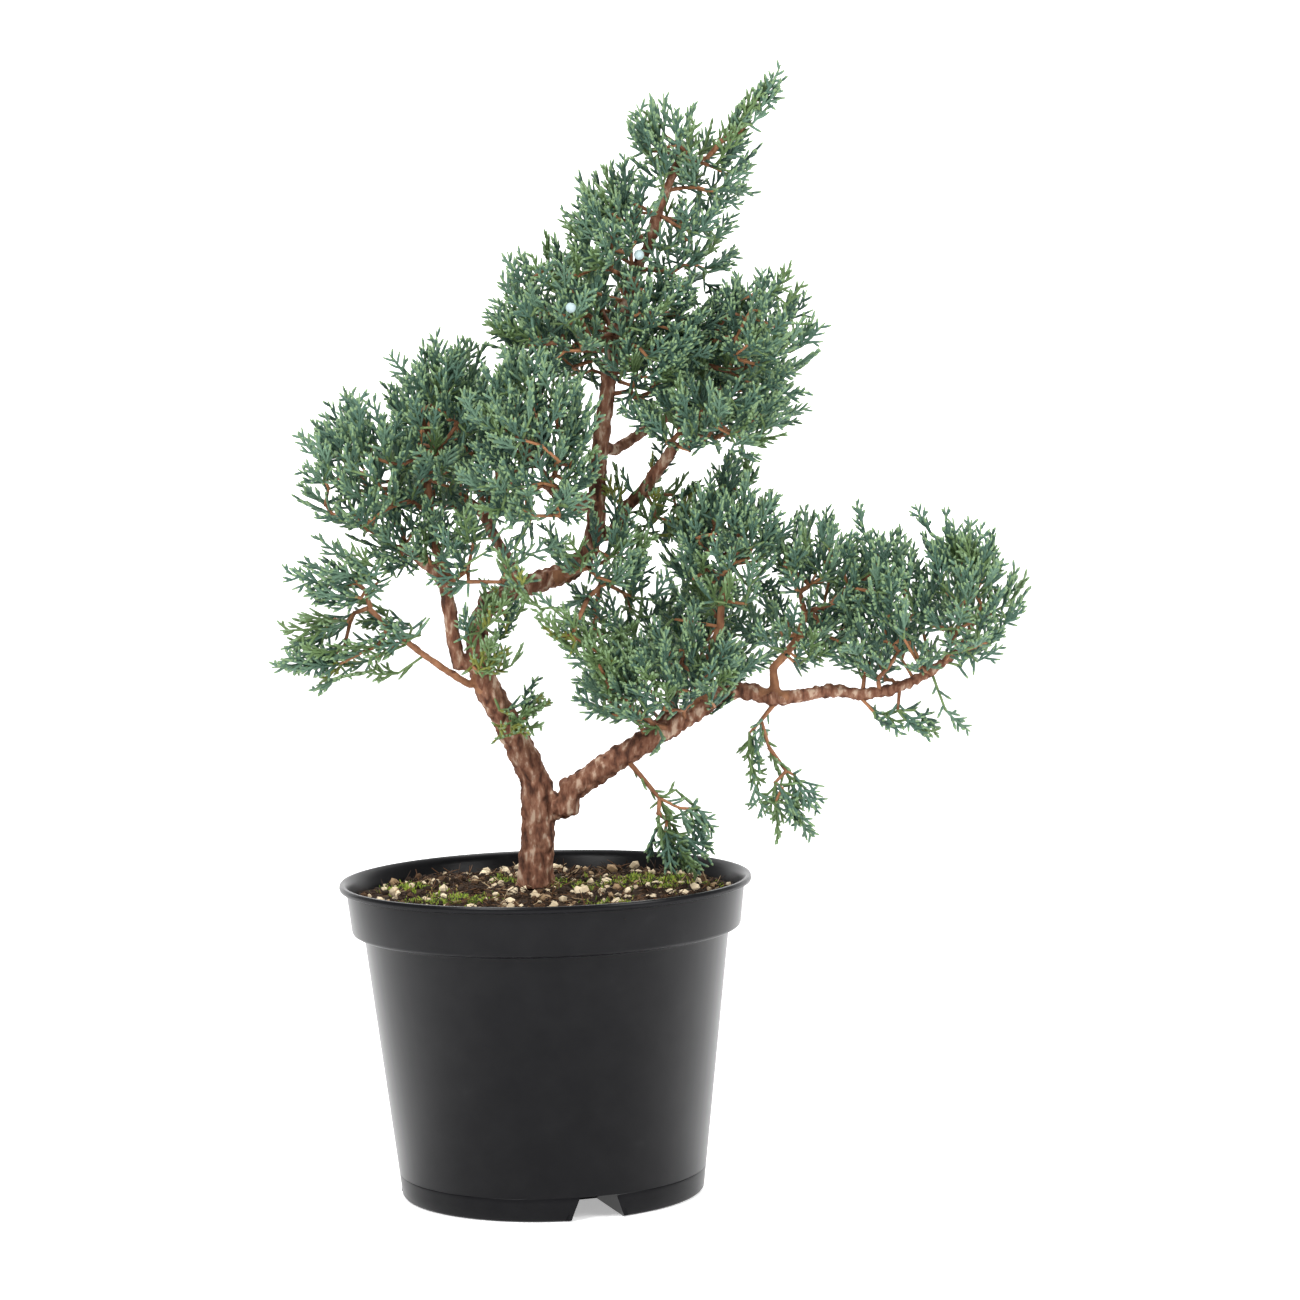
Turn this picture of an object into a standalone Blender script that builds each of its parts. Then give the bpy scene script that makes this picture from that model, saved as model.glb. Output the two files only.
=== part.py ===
# A young blaauw chinese juniper in its round black nursery pot.
# Metres, +Z up, X to the right and Y away, as the plant is seen from its front.
# The origin is at the middle of the pot's underside, on the floor.

import math

import bmesh
import bpy
from mathutils import Matrix, Vector, noise

MM = 0.001
GAP = 0.3 * MM  # clearance kept between pieces that touch

# Pot: radii and heights of its outer side
POT_HEIGHT = 146 * MM
RIM_RADIUS = 95 * MM
CREST_RADIUS = 94 * MM
LIP_DROP = 3.2 * MM  # depth of the rolled lip below the crest
BAND_TOP_RADIUS = 91.9 * MM
BAND_FOOT_RADIUS = 89.5 * MM
BAND_FOOT_HEIGHT = 123 * MM
BODY_TOP_RADIUS = 84.3 * MM
FOOT_RADIUS = 69.8 * MM
FOOT_ROUND = 1.6 * MM
WALL = 1.4 * MM
POT_SIDES = 36

# Drain channels: raised folds of the base that run out to notches in the foot
CHANNEL_COUNT = 3
CHANNEL_FIRST_ANGLE = math.radians(-72)
CHANNEL_FLOOR_WIDTH = 26 * MM
CHANNEL_TOP_WIDTH = 17 * MM
CHANNEL_HEIGHT = 11 * MM
CHANNEL_INNER_END = 27 * MM
DRAIN_RADIUS = 4 * MM
DRAIN_DISTANCE = 50 * MM

# Soil: its level at the trunk and at the wall
SOIL_TOP = 140 * MM
SOIL_EDGE = 137.5 * MM
SOIL_FLAT_RADIUS = 15 * MM
SOIL_RINGS = 2
SOIL_LUMPS = 1.4 * MM  # how far its surface rises and sinks
SOIL_LUMP_SIZE = 14 * MM

TRUNK_FOOT = (-5.5, 10)  # millimetres from the pot's axis

SHARP_ANGLE = math.radians(40)  # edges bent further than this stay crisp
PLASTIC_ROUGHNESS = 0.32
SOIL_ROUGHNESS = 0.95
BARK_ROUGHNESS = 0.85
NEEDLE_ROUGHNESS = 0.7

BLACK_PLASTIC = (0.012, 0.012, 0.013)
PEAT = (0.045, 0.03, 0.02)
BARK = (0.24, 0.12, 0.075)
TWIG_BARK = (0.36, 0.17, 0.085)
NEEDLE_BLUE = (0.075, 0.16, 0.115)
NEEDLE_DEEP = (0.045, 0.11, 0.08)
NEEDLE_GREEN = (0.13, 0.22, 0.085)
NEEDLE_YELLOW = (0.2, 0.24, 0.06)

# Limbs: where each starts, its route in millimetres, its radii in millimetres from start
# to end, and how many sides its section has. A limb starts on the soil, at the end of the
# limb that it follows, or where it leaves another limb, given as a share of that limb's way.
LIMBS = {
    "trunk": dict(
        route=[(-5.5, 10, 140.3), (-4.5, 10, 152), (-3, 9.5, 168), (-3, 8.5, 189)],
        radii=[7.6, 7.5, 7.3], sides=12, flare=2.6),
    "left_limb": dict(
        follows="trunk",
        route=[(-9, 5.5, 203), (-16.5, 2, 219), (-23, -2, 231), (-27.5, -5, 247), (-28.5, -5, 262)],
        radii=[6.9, 5.0], sides=9),
    "cross_limb": dict(
        follows="left_limb",
        route=[(-23, -1.5, 273), (-11, 5, 279), (1, 10, 282), (12, 13.5, 285), (22, 16, 292)],
        radii=[4.8, 4.4], sides=8),
    "leader": dict(
        follows="cross_limb",
        route=[(27, 15, 304), (28, 13, 319), (30, 10, 342), (34, 8, 368), (38, 6, 395),
               (44, 4, 409), (49, 2, 425), (55, 0, 435), (59, -2, 448), (63, -3, 460), (71, -5, 474)],
        radii=[4.4, 3.6, 2.7, 1.7], sides=8),
    "left_bough": dict(
        leaves=("left_limb", 0.8),
        route=[(-39, -8, 257), (-40, -10, 270), (-42, -12, 283), (-49, -14, 292), (-60, -16, 301)],
        radii=[3.4, 2.3], sides=7),
    "left_riser": dict(
        leaves=("left_bough", 0.75),
        route=[(-46, -10, 300), (-48, -8, 316), (-49, -6, 330)],
        radii=[2.2, 1.7], sides=7),
    "lower_left_twig": dict(
        leaves=("left_limb", 0.72),
        route=[(-44, -14, 245), (-60, -19, 258), (-69, -23, 267), (-76, -26, 274)],
        radii=[1.5, 1.0], sides=6),
    "back_left_bough": dict(
        leaves=("cross_limb", 0.3),
        route=[(-12, 20, 286), (-19, 32, 299), (-27, 41, 314)],
        radii=[3.0, 2.2], sides=7),
    "centre_twig": dict(
        leaves=("cross_limb", 0.72),
        route=[(18, 2, 287), (24, -7, 289)],
        radii=[1.5, 1.2], sides=6),
    "front_bough": dict(
        leaves=("leader", 0.09),
        route=[(19, 3, 315), (12, -10, 321), (5, -20, 329)],
        radii=[3.2, 2.4], sides=7),
    "upper_right_bough": dict(
        leaves=("leader", 0.06),
        route=[(40, 12, 314), (49, 10, 322), (57, 8, 333), (65, 5, 344)],
        radii=[3.1, 2.4], sides=7),
    "back_right_bough": dict(
        leaves=("leader", 0.22),
        route=[(36, 22, 341), (50, 31, 349), (66, 36, 358)],
        radii=[2.6, 1.9], sides=7),
    "right_bough": dict(
        leaves=("trunk", 0.75),
        route=[(12, 6, 185), (24, 3, 193), (38, 0, 202), (49, -1, 209), (66, 0, 218), (83, 2, 229)],
        radii=[5.8, 5.2, 3.9], sides=9),
    "right_bough_end": dict(
        follows="right_bough",
        route=[(95, 2, 230), (107, 1, 226), (120, 0, 227), (134, 0, 229), (148, 0, 227),
               (164, -1, 230), (179, -2, 237), (194, -4, 248)],
        radii=[3.7, 1.6], sides=8),
    "right_riser_inner": dict(
        leaves=("right_bough", 0.9),
        route=[(75, -1, 238), (79, -2, 250), (83, -3, 260), (84, -4, 272), (86, -4, 284)],
        radii=[2.0, 1.4], sides=6),
    "right_riser_outer": dict(
        leaves=("right_bough_end", 0.14),
        route=[(107, 2, 240), (113, 2.5, 246), (119, 3, 254), (123, 3, 266)],
        radii=[1.9, 1.4], sides=6),
    "back_low_bough": dict(
        leaves=("right_bough", 0.62),
        route=[(54, 14, 215), (61, 25, 224), (68, 34, 236)],
        radii=[2.4, 1.8], sides=7),
}

# Slender masses of foliage, each about one shoot or one hanging spray. They are built as
# limbs are, and flat is their depth as a share of their width.
SHOOTS = {
    "top_shoot": dict(
        route=[(79, -2, 470), (92, -5, 483), (100, -7, 490), (107, -8, 498), (115, -8, 507)],
        radii=[1.2, 4.6, 5.4, 5, 1], flat=0.9, sides=8, colour=NEEDLE_GREEN),
    "front_shoot": dict(
        route=[(44, -24, 224), (28, -35, 246), (6, -46, 270), (-17, -55, 298)],
        radii=[2.5, 6.5, 6.5, 5.5, 1], flat=0.9, sides=8, colour=NEEDLE_GREEN),
    "end_shoot": dict(
        route=[(158, 0, 282), (154, 0, 296), (149, 0, 311)],
        radii=[1.5, 4.5, 1], flat=0.6, sides=6, colour=NEEDLE_GREEN),
    "hanging_inner": dict(
        leaves=("right_bough", 0.55),
        route=[(52, -6, 196), (57, -9, 184), (62, -11, 170), (62, -12, 157)],
        radii=[1.2, 2.5, 13, 17, 8], flat=0.6, sides=9, colour=NEEDLE_GREEN),
    "hanging_middle": dict(
        leaves=("right_bough_end", 0.07),
        route=[(99, -1, 215), (104, -2, 203), (110, -3, 190), (110, -5, 170)],
        radii=[1.2, 9, 15, 17, 3], flat=0.5, sides=9, colour=NEEDLE_GREEN),
    "hanging_outer": dict(
        leaves=("right_bough_end", 0.5),
        route=[(152, -2, 218), (168, -3, 217), (184, -4, 216), (197, -4, 215)],
        radii=[1.2, 6, 7.5, 6, 1], flat=0.9, sides=8, colour=NEEDLE_GREEN),
}

# Masses of foliage: centre and full size in millimetres, lean in degrees towards +X,
# colour, the number of faces round it, and the tips of the longest shoots that stand out.
MASSES = {
    "top_left": dict(at=(61, -10, 473), size=(27, 28, 38), lean=-10, colour=NEEDLE_BLUE, fine=10,
                     tips=[(62, -10, 492), (47, -8, 464)]),
    "top_right": dict(at=(80, 3, 464), size=(34, 28, 34), lean=30, colour=NEEDLE_BLUE, fine=10,
                      tips=[(97, 0, 473)]),
    "upper_left": dict(at=(38, -6, 438), size=(36, 44, 50), lean=12, colour=NEEDLE_BLUE, fine=12,
                       tips=[(47, -8, 465)]),
    "upper_right": dict(at=(73, 4, 433), size=(32, 44, 50), lean=10, colour=NEEDLE_BLUE, fine=12,
                        tips=[(89, 4, 447)]),
    "left_shoulder": dict(at=(12, -12, 402), size=(46, 54, 58), lean=8, colour=NEEDLE_BLUE, fine=12,
                          tips=[(4, -12, 427), (-9, -14, 400)]),
    "middle": dict(at=(55, -6, 388), size=(48, 54, 60), lean=0, colour=NEEDLE_DEEP, fine=12, tips=[]),
    "right_high": dict(at=(102, -4, 388), size=(48, 58, 50), lean=20, colour=NEEDLE_BLUE, fine=12,
                       tips=[(124, -4, 408)]),
    "right_low": dict(at=(81, -12, 356), size=(66, 54, 40), lean=0, colour=NEEDLE_DEEP, fine=12,
                      tips=[]),
    "front_lobe": dict(at=(-2, -36, 342), size=(58, 60, 82), lean=4, colour=NEEDLE_BLUE, fine=14,
                       tips=[(-6, -36, 384)]),
    "left_high": dict(at=(-42, -8, 352), size=(42, 56, 68), lean=0, colour=NEEDLE_BLUE, fine=14,
                      tips=[(-61, -12, 387), (-24, -6, 387)]),
    "left_outer": dict(at=(-74, -16, 330), size=(52, 60, 64), lean=-8, colour=NEEDLE_BLUE, fine=14,
                       tips=[(-107, -20, 349), (-90, -16, 362)]),
    "left_base": dict(at=(-53, -14, 302), size=(56, 42, 30), lean=0, colour=NEEDLE_DEEP, fine=10,
                      tips=[]),
    "left_fan": dict(at=(-82, -34, 288), size=(38, 26, 28), lean=-15, colour=NEEDLE_BLUE, fine=10,
                     tips=[(-98, -32, 287)]),
    "left_open": dict(at=(-76, -22, 258), size=(60, 16, 34), lean=-6, colour=NEEDLE_GREEN, fine=10,
                      tips=[(-108, -26, 252), (-104, -24, 240), (-58, -20, 233)]),
    "inner_left": dict(at=(-24, -27, 297), size=(50, 26, 32), lean=0, colour=NEEDLE_BLUE, fine=10,
                       tips=[]),
    "inner_stem": dict(at=(-20, -19, 258), size=(26, 24, 46), lean=0, colour=NEEDLE_YELLOW, fine=10,
                       tips=[]),
    "inner_tuft": dict(at=(-14, -8, 221), size=(30, 26, 28), lean=0, colour=NEEDLE_GREEN, fine=10,
                       tips=[(2, -10, 212)]),
    "centre_fan": dict(at=(28, -16, 290), size=(44, 28, 32), lean=10, colour=NEEDLE_BLUE, fine=10,
                       tips=[]),
    "centre_low": dict(at=(46, -2, 264), size=(46, 28, 36), lean=0, colour=NEEDLE_DEEP, fine=10,
                       tips=[]),
    "under_bough": dict(at=(56, 14, 312), size=(42, 28, 34), lean=30, colour=NEEDLE_DEEP, fine=10,
                        tips=[]),
    "mid_bough": dict(at=(56, -12, 234), size=(74, 52, 44), lean=0, colour=NEEDLE_BLUE, fine=12,
                      tips=[(22, -14, 232), (92, -12, 246)]),
    "cone": dict(at=(86, -4, 292), size=(50, 54, 66), lean=8, colour=NEEDLE_BLUE, fine=14,
                 tips=[(92, -4, 339)]),
    "outer_high": dict(at=(126, 3, 283), size=(42, 48, 42), lean=0, colour=NEEDLE_BLUE, fine=12,
                       tips=[(126, 2, 305)]),
    "outer_low": dict(at=(119, 2, 251), size=(40, 40, 30), lean=0, colour=NEEDLE_BLUE, fine=10,
                      tips=[]),
    "end_inner": dict(at=(162, 0, 260), size=(46, 58, 58), lean=-6, colour=NEEDLE_BLUE, fine=12,
                      tips=[]),
    "end_outer": dict(at=(193, -3, 265), size=(48, 54, 50), lean=30, colour=NEEDLE_BLUE, fine=12,
                      tips=[(177, -3, 310), (218, -6, 268), (212, -6, 281)]),
    "back_left": dict(at=(-38, 44, 340), size=(66, 60, 72), lean=-5, colour=NEEDLE_BLUE, fine=12,
                      tips=[]),
    "back_shoulder": dict(at=(27, 34, 396), size=(54, 50, 64), lean=6, colour=NEEDLE_BLUE, fine=12,
                          tips=[]),
    "back_right": dict(at=(90, 38, 372), size=(60, 54, 60), lean=10, colour=NEEDLE_BLUE, fine=12,
                       tips=[]),
    "back_low": dict(at=(75, 44, 248), size=(56, 48, 48), lean=0, colour=NEEDLE_BLUE, fine=12,
                     tips=[]),
}
FULLNESS = 1.1  # how far the sprays fill out a mass past its measured size
UNEVEN = 0.24  # share by which a mass swells and shrinks
LUMP = 17 * MM  # size of its swellings
MASS_ROWS = 0.6  # rows of faces from its foot to its top, as a share of those round it
TIP_SPREAD = math.radians(34)  # how wide a standing tip is at its root
TIP_SHARPNESS = 1.6
MASS_GAP = 0.5 * MM  # clearance between neighbouring masses
ROOM = 0.4 * MM  # clearance of the foliage round a limb

ROUTE_STEP = 10.5 * MM  # distance between a limb's rings
COLLAR = 0.16  # share by which a branch swells where it leaves its limb
COLLAR_LENGTH = 5 * MM
STUB = 1.1  # how far a branch stands straight out of its limb, in its own radii
FLARE_LENGTH = 7 * MM
FLARE_ROOTS = 5
FLARE_TURN = 0.8  # where the first root points, in radians
FLARE_HOLLOW = 0.1  # share of the flare that is left between two roots
CUT_BACK = 5  # how many clearances deep the room round a branch reaches into its carrier
TWIG_RADIUS = 2.5  # millimetres: thinner limbs have the younger, redder bark


def vector(millimetres):
    return Vector(millimetres) * MM


def between(start, end, share):
    return start + (end - start) * share


def material(name, colour, roughness):
    made = bpy.data.materials.new(name)
    made.use_nodes = True
    shader = made.node_tree.nodes["Principled BSDF"]
    shader.inputs["Base Color"].default_value = (*colour, 1)
    shader.inputs["Roughness"].default_value = roughness
    shader.inputs["Metallic"].default_value = 0
    return made


def add_object(name, bm, colour=None, roughness=BARK_ROUGHNESS):
    bmesh.ops.recalc_face_normals(bm, faces=bm.faces)
    mesh = bpy.data.meshes.new(name)
    bm.to_mesh(mesh)
    bm.free()
    made = bpy.data.objects.new(name, mesh)
    bpy.context.collection.objects.link(made)
    if colour is not None:
        mesh.materials.append(material(name, colour, roughness))
        mesh.shade_smooth()
        mesh.set_sharp_from_angle(angle=SHARP_ANGLE)
    return made


def hide_cutter(cutter):
    cutter.hide_render = True
    cutter.display_type = "WIRE"
    return cutter


def combine(target, tool, operation):
    cut = target.modifiers.new(tool.name, "BOOLEAN")
    cut.operation = operation
    cut.object = tool
    cut.solver = "EXACT"


# Pot and soil, both turned about the pot's axis

def turned(profile):
    bm = bmesh.new()
    points = [bm.verts.new((radius, 0, height)) for radius, height in profile]
    edges = [bm.edges.new(pair) for pair in zip(points, points[1:])]
    bmesh.ops.spin(bm, geom=points + edges, cent=(0, 0, 0), axis=(0, 0, 1),
                   angle=math.tau, steps=POT_SIDES, use_merge=True)
    bmesh.ops.remove_doubles(bm, verts=bm.verts, dist=GAP / 10)
    return bm


def body_radius(height):
    return between(FOOT_RADIUS, BODY_TOP_RADIUS, height / BAND_FOOT_HEIGHT)


def band_radius(height):
    share = (height - BAND_FOOT_HEIGHT) / (POT_HEIGHT - BAND_FOOT_HEIGHT)
    return between(BAND_FOOT_RADIUS, BAND_TOP_RADIUS, share)


def pot_profile():
    lip = POT_HEIGHT - LIP_DROP
    outside = [
        (0, 0),
        (FOOT_RADIUS - FOOT_ROUND, 0),
        (FOOT_RADIUS - FOOT_ROUND * 0.3, FOOT_ROUND * 0.3),
        (body_radius(FOOT_ROUND), FOOT_ROUND),
        (BODY_TOP_RADIUS, BAND_FOOT_HEIGHT - WALL),
        (BAND_FOOT_RADIUS - WALL, BAND_FOOT_HEIGHT),
        (BAND_FOOT_RADIUS, BAND_FOOT_HEIGHT + WALL),
        (band_radius(lip), lip),
        (RIM_RADIUS, lip + WALL * 0.3),
        (RIM_RADIUS, POT_HEIGHT - WALL * 0.5),
        (CREST_RADIUS, POT_HEIGHT),
        (CREST_RADIUS - WALL, POT_HEIGHT),
    ]
    inside = [
        (band_radius(lip) - WALL, lip),
        (BAND_FOOT_RADIUS - WALL, BAND_FOOT_HEIGHT + 2 * WALL),
        (BODY_TOP_RADIUS - WALL, BAND_FOOT_HEIGHT),
        (body_radius(WALL) - WALL, WALL),
        (0, WALL),
    ]
    return outside + inside


# One drain channel's wedge, pointing along +X: a trapezoid section pushed outwards

def channel_block(bm, grow, foot, start, end, turn):
    half_floor = CHANNEL_FLOOR_WIDTH / 2 + grow
    half_top = CHANNEL_TOP_WIDTH / 2 + grow
    top = CHANNEL_HEIGHT + grow
    section = [(-half_floor, foot), (half_floor, foot), (half_top, top), (-half_top, top)]
    corners = [bm.verts.new((start, side, height)) for side, height in section]
    face = bm.faces.new(corners)
    pushed = bmesh.ops.extrude_face_region(bm, geom=[face])["geom"]
    far = [item for item in pushed if isinstance(item, bmesh.types.BMVert)]
    bmesh.ops.translate(bm, vec=(end - start, 0, 0), verts=far)
    bmesh.ops.rotate(bm, cent=(0, 0, 0), matrix=Matrix.Rotation(turn, 3, "Z"), verts=corners + far)


def channel_blocks(name, grow, foot, start, end):
    bm = bmesh.new()
    for number in range(CHANNEL_COUNT):
        turn = CHANNEL_FIRST_ANGLE + math.tau * number / CHANNEL_COUNT
        channel_block(bm, grow, foot, start, end, turn)
    return hide_cutter(add_object(name, bm))


def drain_holes():
    bm = bmesh.new()
    for number in range(CHANNEL_COUNT):
        turn = CHANNEL_FIRST_ANGLE + math.tau * number / CHANNEL_COUNT
        place = Matrix.Rotation(turn, 4, "Z") @ Matrix.Translation((DRAIN_DISTANCE, 0, CHANNEL_HEIGHT))
        bmesh.ops.create_cone(bm, cap_ends=True, segments=12, radius1=DRAIN_RADIUS,
                              radius2=DRAIN_RADIUS, depth=6 * WALL, matrix=place)
    return hide_cutter(add_object("drain_cutters", bm))


def build_pot():
    pot = add_object("pot", turned(pot_profile()), colour=BLACK_PLASTIC, roughness=PLASTIC_ROUGHNESS)
    folds = channel_blocks("channel_folds", WALL, WALL / 2, CHANNEL_INNER_END - WALL, FOOT_RADIUS - WALL / 2)
    combine(pot, folds, "UNION")
    past_wall = body_radius(CHANNEL_HEIGHT) + 3 * WALL
    hollows = channel_blocks("channel_cutters", 0, -WALL, CHANNEL_INNER_END, past_wall)
    combine(pot, hollows, "DIFFERENCE")
    combine(pot, drain_holes(), "DIFFERENCE")


def build_soil():
    floor = CHANNEL_HEIGHT + WALL + GAP
    side = WALL + GAP
    profile = [
        (0, floor),
        (body_radius(floor) - side, floor),
        (BODY_TOP_RADIUS - side, BAND_FOOT_HEIGHT),
        (BAND_FOOT_RADIUS - side, BAND_FOOT_HEIGHT + 2 * WALL + GAP),
        (band_radius(SOIL_EDGE) - side, SOIL_EDGE),
    ]
    wall = profile[-1][0]
    for ring in range(1, SOIL_RINGS + 1):
        share = ring / (SOIL_RINGS + 1)
        profile.append((between(wall, SOIL_FLAT_RADIUS, share), between(SOIL_EDGE, SOIL_TOP, share)))
    profile += [(SOIL_FLAT_RADIUS, SOIL_TOP), (0, SOIL_TOP)]
    bm = turned(profile)
    lumpy = [v for v in bm.verts if v.co.z > SOIL_EDGE + GAP and v.co.xy.length > SOIL_FLAT_RADIUS + GAP]
    for vertex in lumpy:
        vertex.co.z += SOIL_LUMPS * noise.noise(vertex.co / SOIL_LUMP_SIZE)
    flat = [v for v in bm.verts if v.co.z > SOIL_EDGE and v not in lumpy and v.co.xy.length < wall - GAP]
    bmesh.ops.translate(bm, vec=(TRUNK_FOOT[0] * MM, TRUNK_FOOT[1] * MM, 0), verts=flat)
    add_object("soil", bm, colour=PEAT, roughness=SOIL_ROUGHNESS)


# Limbs: rings along a smooth route

def smooth_route(points):
    ends = [2 * points[0] - points[1]] + points + [2 * points[-1] - points[-2]]
    route = [points[0]]
    for before, start, end, after in zip(ends, ends[1:], ends[2:], ends[3:]):
        steps = max(1, round((end - start).length / ROUTE_STEP))
        for step in range(1, steps + 1):
            t = step / steps
            route.append(0.5 * (2 * start + (end - before) * t
                                + (2 * before - 5 * start + 4 * end - after) * t ** 2
                                + (3 * start - before - 3 * end + after) * t ** 3))
    return route


def headings(route, first=None):
    found = [(after - before).normalized()
             for before, after in zip([route[0]] + route[:-1], route[1:] + [route[-1]])]
    if first is not None:
        found[0] = first
    return found


def limb_radius(limb, travelled, length):
    radii = limb["radii"]
    place = travelled / length * (len(radii) - 1)
    before = min(int(place), len(radii) - 2)
    radius = between(radii[before], radii[before + 1], place - before) * MM
    if "leaves" in limb:
        radius *= 1 + COLLAR * math.exp(-travelled / COLLAR_LENGTH)
    return radius


def plan_limb(limb, planned):
    points = [vector(point) for point in limb["route"]]
    first = None
    if "follows" in limb:
        before = planned[limb["follows"]]
        first = before["headings"][-1]
        points.insert(0, before["route"][-1] + first * GAP)
    elif "leaves" in limb:
        parent, share = limb["leaves"]
        carrier = planned[parent]
        ring = round(share * (len(carrier["route"]) - 1))
        centre = carrier["route"][ring]
        along = carrier["headings"][ring]
        outward = points[0] - centre
        first = (outward - along * outward.dot(along)).normalized()
        surface = centre + first * (carrier["radii"][ring] + GAP)
        points = [surface, surface + first * limb["radii"][0] * MM * STUB] + points
    elif "flare" in limb:
        first = Vector((0, 0, 1))
    route = smooth_route(points)
    travelled = [0]
    for before, after in zip(route, route[1:]):
        travelled.append(travelled[-1] + (after - before).length)
    radii = [limb_radius(limb, at, travelled[-1]) for at in travelled]
    return dict(route=route, headings=headings(route, first), radii=radii, travelled=travelled,
                sides=limb["sides"], flare=limb.get("flare", 0) * MM, flat=limb.get("flat"))


def ring_frames(plan, grow):
    rings = list(zip(plan["route"], plan["headings"], plan["radii"]))
    if grow:
        start, end = rings[0], rings[-1]
        rings.insert(0, (start[0] - start[1] * grow * CUT_BACK, *start[1:]))
        rings.append((end[0] + end[1] * grow, *end[1:]))
    frames = []
    across = Vector((1, 0, 0))
    for centre, heading, radius in rings:
        across = (across - heading * across.dot(heading)).normalized()
        turn = Matrix((across, heading.cross(across), heading)).transposed().to_4x4()
        depth = radius * (plan["flat"] or 1)
        scale = Matrix.Diagonal((radius + grow, depth + grow, radius + grow, 1))
        frames.append(Matrix.Translation(centre) @ turn @ scale)
    return frames


def spread_roots(bm, plan):
    foot = plan["route"][0]
    for vertex in bm.verts:
        away = vertex.co - foot
        angle = math.atan2(away.y, away.x)
        root = between(FLARE_HOLLOW, 1, 0.5 + 0.5 * math.cos(FLARE_ROOTS * angle + FLARE_TURN))
        push = plan["flare"] * root * math.exp(-max(away.z, 0) / FLARE_LENGTH)
        flat = Vector((away.x, away.y, 0))
        if flat.length > 0:
            vertex.co += flat.normalized() * push


def limb_mesh(plan, grow=0.0):
    frames = ring_frames(plan, grow)
    bm = bmesh.new()
    bmesh.ops.create_circle(bm, segments=plan["sides"], radius=1, matrix=frames[0])
    ring = bm.edges[:]
    for before, after in zip(frames, frames[1:]):
        pushed = bmesh.ops.extrude_edge_only(bm, edges=ring)["geom"]
        ring = [item for item in pushed if isinstance(item, bmesh.types.BMEdge)]
        moved = [item for item in pushed if isinstance(item, bmesh.types.BMVert)]
        bmesh.ops.transform(bm, matrix=after @ before.inverted(), verts=moved)
    bmesh.ops.holes_fill(bm, edges=bm.edges)
    if plan["flare"]:
        spread_roots(bm, plan)
    return bm


# Masses of foliage: an uneven ball about a centre, flattened where it meets a neighbour

def reach(mass, direction):
    local = Matrix.Rotation(-math.radians(mass["lean"]), 3, "Y") @ direction
    half = vector(mass["size"]) * FULLNESS / 2
    return 1 / math.sqrt(sum((part / size) ** 2 for part, size in zip(local, half)))


def neighbour_planes(name):
    mass = MASSES[name]
    planes = []
    for other_name, other in MASSES.items():
        apart = vector(other["at"]) - vector(mass["at"])
        if other_name == name or apart.length > (max(mass["size"]) + max(other["size"])) * MM:
            continue
        towards = apart.normalized()
        own, theirs = reach(mass, towards), reach(other, towards)
        limit = apart.length * own / (own + theirs) - MASS_GAP / 2
        planes.append((towards, limit))
    return planes


def stand_out(offset, tips):
    for tip in tips:
        apart = offset.angle(tip)
        if apart < TIP_SPREAD:
            pull = (1 - apart / TIP_SPREAD) ** TIP_SHARPNESS
            offset = offset.lerp(tip, pull)
    return offset


def mass_mesh(name):
    mass = MASSES[name]
    centre = vector(mass["at"])
    seed = Vector((len(name) * 3.7, sum(map(ord, name)) * 0.173, centre.z * 40))
    tips = [vector(tip) - centre for tip in mass["tips"]]
    planes = neighbour_planes(name)
    bm = bmesh.new()
    rows = round(mass["fine"] * MASS_ROWS)
    bmesh.ops.create_uvsphere(bm, u_segments=mass["fine"], v_segments=rows, radius=1)
    lean = Matrix.Rotation(math.radians(mass["lean"]), 3, "Y")
    half = vector(mass["size"]) * FULLNESS / 2
    for vertex in bm.verts:
        offset = lean @ Vector(part * size for part, size in zip(vertex.co, half))
        swell = noise.noise((centre + offset) / LUMP + seed)
        offset *= 1 + UNEVEN * swell
        offset = stand_out(offset, tips)
        for towards, limit in planes:
            if offset.dot(towards) > limit:
                offset *= limit / offset.dot(towards)
        vertex.co = centre + offset
    return bm


def build_plant():
    planned = {}
    clearances = bpy.data.collections.new("clearances")
    bpy.context.scene.collection.children.link(clearances)

    def add_limb(name, limb, colour, roughness, node):
        planned[name] = plan_limb(limb, planned)
        add_object(node, limb_mesh(planned[name]), colour=colour, roughness=roughness)
        room = add_object("room_" + name, limb_mesh(planned[name], ROOM))
        clearances.objects.link(hide_cutter(room))

    for name, limb in LIMBS.items():
        bark = TWIG_BARK if limb["radii"][0] < TWIG_RADIUS else BARK
        add_limb(name, limb, bark, BARK_ROUGHNESS, name)
    for name, shoot in SHOOTS.items():
        add_limb(name, shoot, shoot["colour"], NEEDLE_ROUGHNESS, "foliage_" + name)
    for name, mass in MASSES.items():
        foliage = add_object("foliage_" + name, mass_mesh(name), colour=mass["colour"],
                             roughness=NEEDLE_ROUGHNESS)
        cut = foliage.modifiers.new("clearances", "BOOLEAN")
        cut.operation = "DIFFERENCE"
        cut.operand_type = "COLLECTION"
        cut.collection = clearances
        cut.solver = "EXACT"


for old in list(bpy.data.objects):
    bpy.data.objects.remove(old, do_unlink=True)

build_pot()
build_soil()
build_plant()
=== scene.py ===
import math
import random

import bmesh
import bpy
import numpy as np
from mathutils import Matrix, Vector, noise
from mathutils.bvhtree import BVHTree
from mathutils.kdtree import KDTree


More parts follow.
